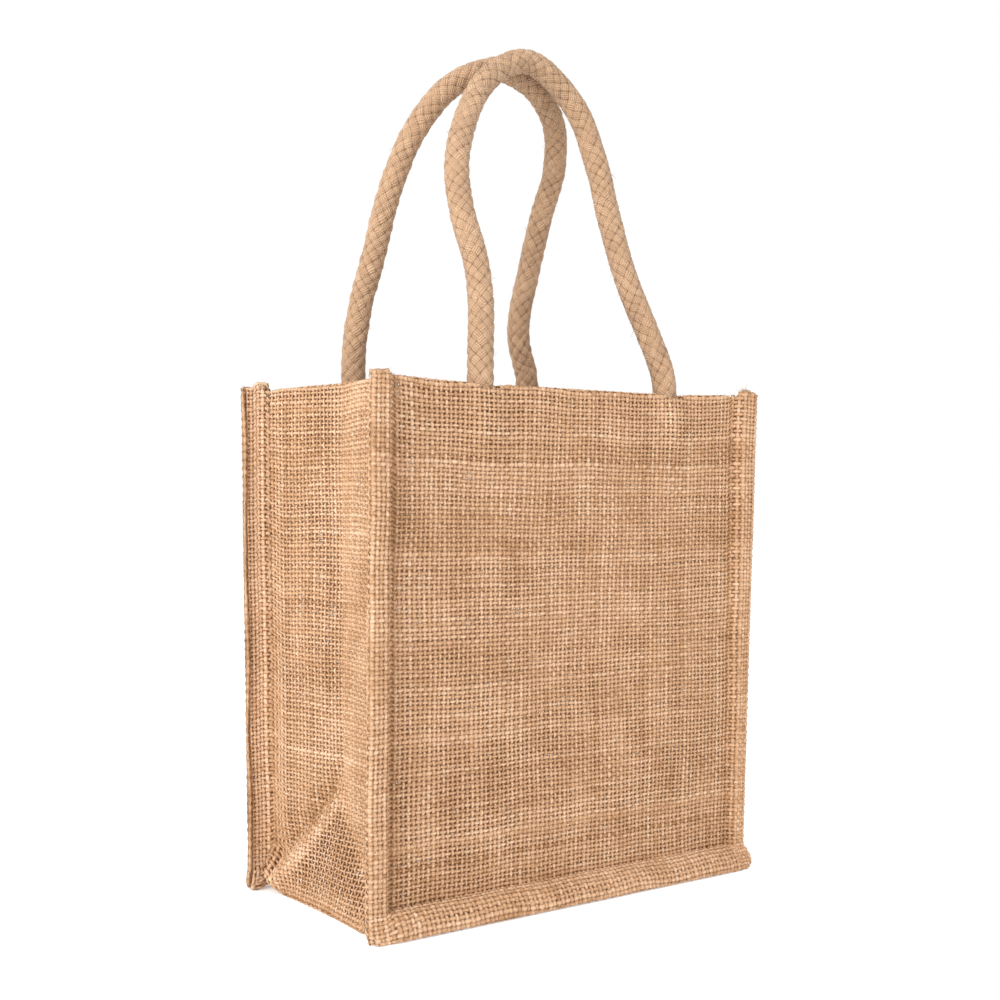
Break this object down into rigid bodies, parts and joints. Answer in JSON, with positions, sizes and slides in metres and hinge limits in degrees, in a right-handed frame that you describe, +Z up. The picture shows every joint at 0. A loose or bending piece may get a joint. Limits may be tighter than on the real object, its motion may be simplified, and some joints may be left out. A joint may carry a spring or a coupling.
{
  "type": "jute tote bag",
  "caption": "Open, box-shaped tote bag of coarse jute cloth that stands on its base, with outward seam allowances, an inward-folded gusset and plaited rope handles.",
  "frame": {"origin": "middle of the bag's base, on the surface it stands on", "axes": "+X along the front panel to the right, +Y from the front panel to the back panel, +Z up"},
  "size_m": [0.2349, 0.123, 0.4108],
  "materials": {
    "jute_cloth": "matte open plain weave of natural tan jute yarns",
    "jute_rope": "matte plaited natural jute, slightly greyer than the cloth"
  },
  "bodies": {
    "root": {"front_panel": "jute_cloth", "back_panel": "jute_cloth", "gusset": "jute_cloth", "rope_handle_front": "jute_rope", "rope_handle_back": "jute_rope"}
  },
  "joints": []
}
